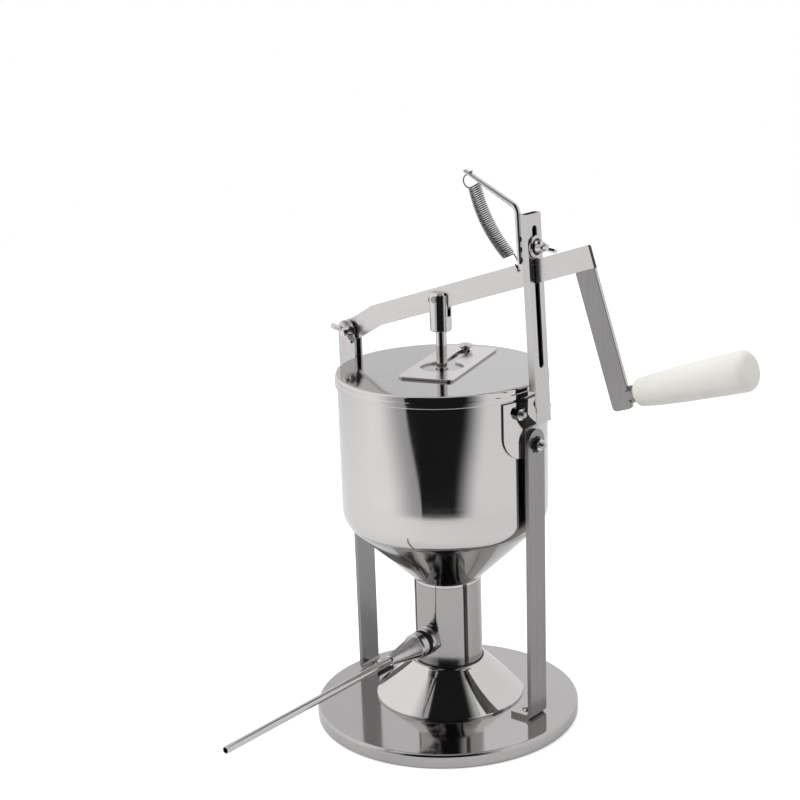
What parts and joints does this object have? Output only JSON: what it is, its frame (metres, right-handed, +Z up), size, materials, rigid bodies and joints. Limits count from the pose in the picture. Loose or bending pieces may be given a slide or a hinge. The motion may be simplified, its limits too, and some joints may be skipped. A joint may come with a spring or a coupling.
{
  "type": "lever churro filling machine",
  "caption": "Bench filler with a lidded steel hopper over a pump cylinder; a cranked hand lever with a return spring presses the piston and feeds a long side nozzle.",
  "frame": {"origin": "on the floor, under the hopper's axis", "axes": "+Z up along the hopper's axis, -Y along the nozzle to the front, +X towards the lever's handle"},
  "size_m": [0.4403, 0.4176, 0.5214],
  "materials": {
    "mirror_steel": "mirror-polished",
    "satin_steel": "satin, fine brushed",
    "hardware": "bright plated",
    "spring_steel": "drawn wire",
    "nylon": "turned, satin",
    "rubber": "matte"
  },
  "bodies": {
    "stand": {"base_plate": "satin_steel", "pedestal": "mirror_steel", "pump_cylinder": "mirror_steel", "cylinder_floor": "satin_steel", "hopper": "mirror_steel", "left_leg": "satin_steel", "right_leg": "satin_steel", "foot_screws": "hardware", "left_pad": "satin_steel", "right_pad": "satin_steel", "pad_bolts": "hardware", "pad_nuts": "hardware", "leg_bolts": "hardware", "leg_nuts": "hardware", "guide_post": "satin_steel", "pivot_bracket": "satin_steel", "pivot_bolt": "hardware", "spring_hanger": "satin_steel", "outlet_boss": "mirror_steel", "outlet_seal": "rubber", "nozzle_cone": "mirror_steel", "nozzle_tube": "mirror_steel"},
    "lever": {"lever_bar": "satin_steel", "lever_arm": "satin_steel", "grip_spindle": "satin_steel", "grip_nut": "hardware", "grip": "nylon", "return_spring": "spring_steel"},
    "piston": {"piston_rod": "mirror_steel", "rod_clevis": "satin_steel", "clevis_pin": "mirror_steel", "piston_head": "satin_steel", "piston_seal": "rubber", "valve_flap": "rubber", "valve_washer": "satin_steel", "piston_nut": "hardware"},
    "stop": {"stop_screw": "hardware", "stop_washer": "hardware"},
    "stop_nut": {"stop_wing_nut": "hardware"},
    "pivot_nut": {"pivot_wing_nut": "hardware"},
    "lid": {"lid": "satin_steel", "lid_knob": "hardware"},
    "cover": {"cover_plate": "satin_steel"}
  },
  "joints": [
    {"name": "lever_press", "type": "hinge", "parent": "stand", "child": "lever", "pos_m": [-0.106, 0, 0.35808], "axis": [0, 1, 0], "range_deg": [0, 18], "stiffness_Nm_per_rad": 3, "springref_deg": -51.57, "deforming": ["return_spring"]},
    {"name": "piston_stroke", "type": "slide", "parent": "stand", "child": "piston", "axis": [0, 0, -1], "range_m": [0, 0.0346]},
    {"name": "stop_height", "type": "slide", "parent": "stand", "child": "stop", "axis": [-0.0523, 0, 0.9986], "range_m": [0, 0.014]},
    {"name": "stop_nut_turn", "type": "hinge", "parent": "stop", "child": "stop_nut", "pos_m": [0.10468, 0, 0.45725], "axis": [0.9986, 0, 0.0523], "range_deg": [-30, 60]},
    {"name": "pivot_nut_turn", "type": "hinge", "parent": "stand", "child": "pivot_nut", "pos_m": [-0.106, -0.009, 0.35808], "axis": [0, -1, 0], "continuous": true},
    {"name": "lid_turn", "type": "hinge", "parent": "stand", "child": "lid", "pos_m": [0, 0, 0.335], "axis": [0, 0, 1], "continuous": true},
    {"name": "cover_slide", "type": "slide", "parent": "lid", "child": "cover", "axis": [-0.284, 0.9588, 0], "range_m": [0, 0.008]}
  ],
  "couplings": [
    {"joint": "piston_stroke", "follows": "lever_press", "m_per_rad": 0.11}
  ]
}
